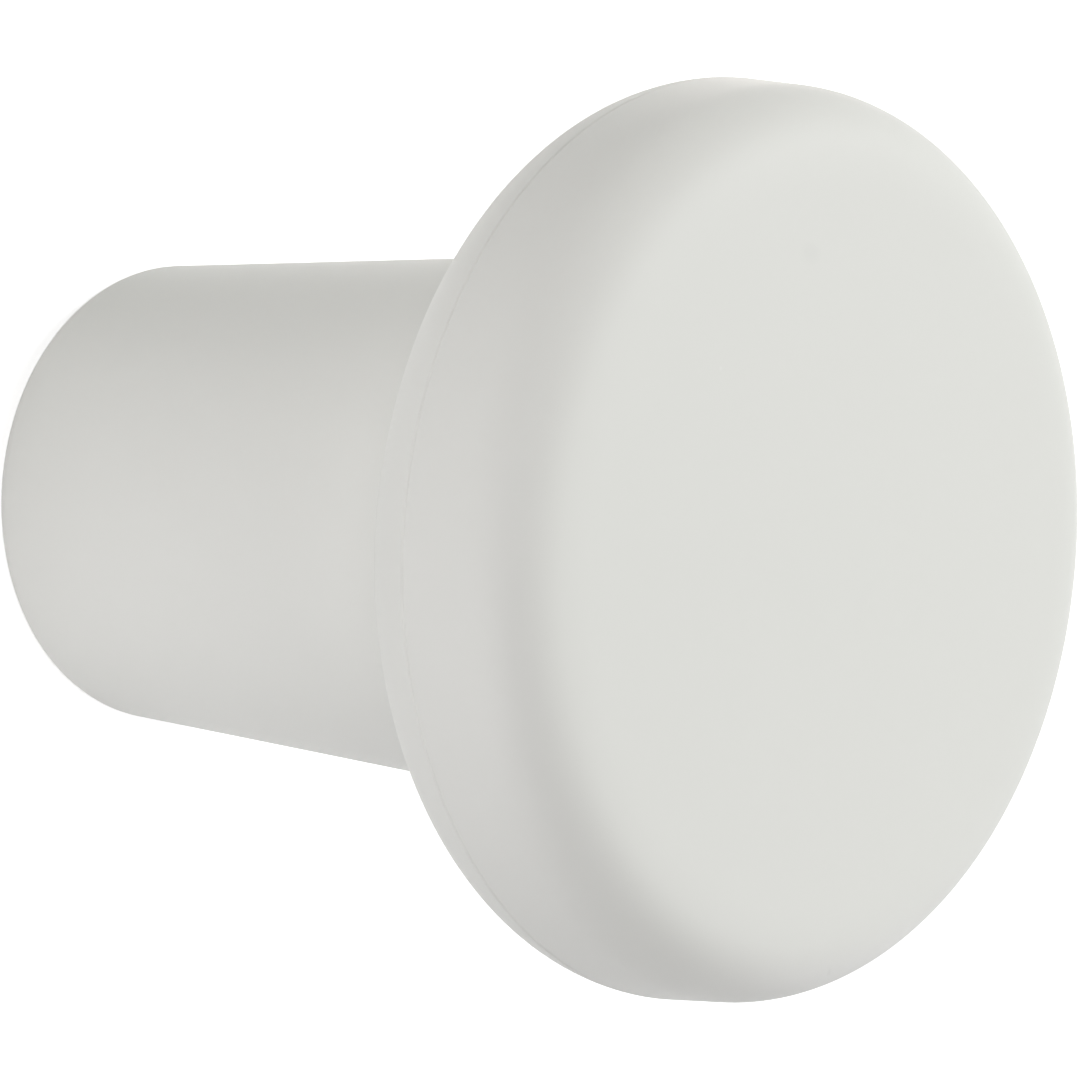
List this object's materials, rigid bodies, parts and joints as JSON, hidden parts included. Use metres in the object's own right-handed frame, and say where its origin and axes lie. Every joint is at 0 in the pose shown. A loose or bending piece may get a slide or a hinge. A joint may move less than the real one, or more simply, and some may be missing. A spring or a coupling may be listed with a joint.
{
  "type": "bottle stopper",
  "caption": "Solid silicone bottle stopper: a straight tapered plug under a wide round head with a slightly crowned face, a soft front edge and a fine parting line.",
  "frame": {"origin": "centre of the plug's flat end, which the stopper stands on", "axes": "+Z along the stopper's axis, from the plug's end to the face of the head; X and Y are equal, because the form is turned about Z"},
  "size_m": [0.032, 0.032, 0.0334],
  "materials": {
    "silicone": "matte moulded silicone, warm white, very finely grained"
  },
  "bodies": {
    "root": {"stopper": "silicone"}
  },
  "joints": []
}
